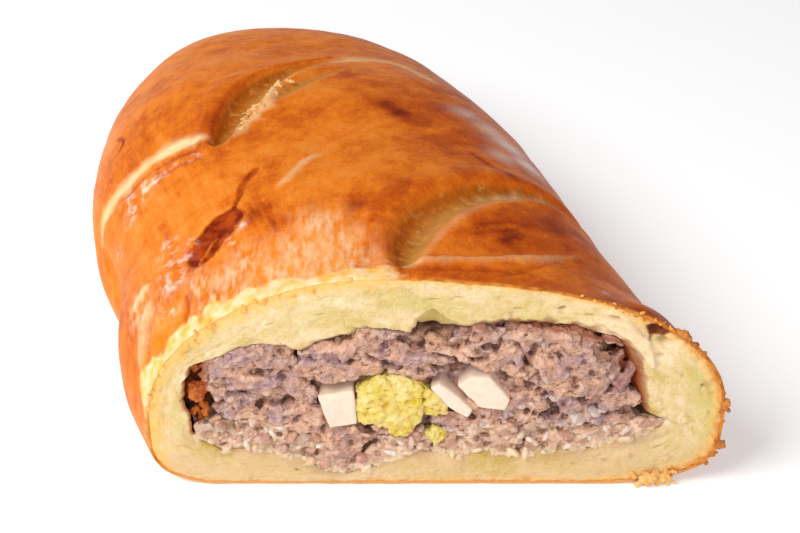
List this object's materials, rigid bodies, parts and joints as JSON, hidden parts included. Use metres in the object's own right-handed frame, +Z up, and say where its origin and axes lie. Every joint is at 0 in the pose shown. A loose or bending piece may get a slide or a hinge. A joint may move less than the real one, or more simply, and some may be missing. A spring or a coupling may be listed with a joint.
{
  "type": "meat and egg kulebyaka",
  "caption": "Cut half of a long glazed yeast-dough loaf, filled with minced meat, boiled egg and a layer of rice, with slashes in its browned crust.",
  "frame": {"origin": "middle of the base, at the bottom centre of the whole half loaf's box", "axes": "+Z up from the flat base, the cut faces -Y, +X to the right as the cut is looked at"},
  "size_m": [0.1836, 0.2088, 0.0686],
  "materials": {
    "crust": "baked egg-washed crust, semi-gloss, with a soft cream-yellow crumb at the cut",
    "meat": "boiled minced meat, moist and craggy",
    "rice": "boiled rice with onion, moist",
    "egg_white": "boiled egg white, smooth and moist",
    "yolk": "boiled yolk, crumbly and matte"
  },
  "bodies": {
    "root": {"dough": "crust", "meat": "meat", "rice": "rice", "egg_white_left": "egg_white", "egg_white_right": "egg_white", "egg_white_strip": "egg_white", "egg_yolk": "yolk", "egg_yolk_small": "yolk", "egg_yolk_crumb": "yolk"}
  },
  "joints": []
}
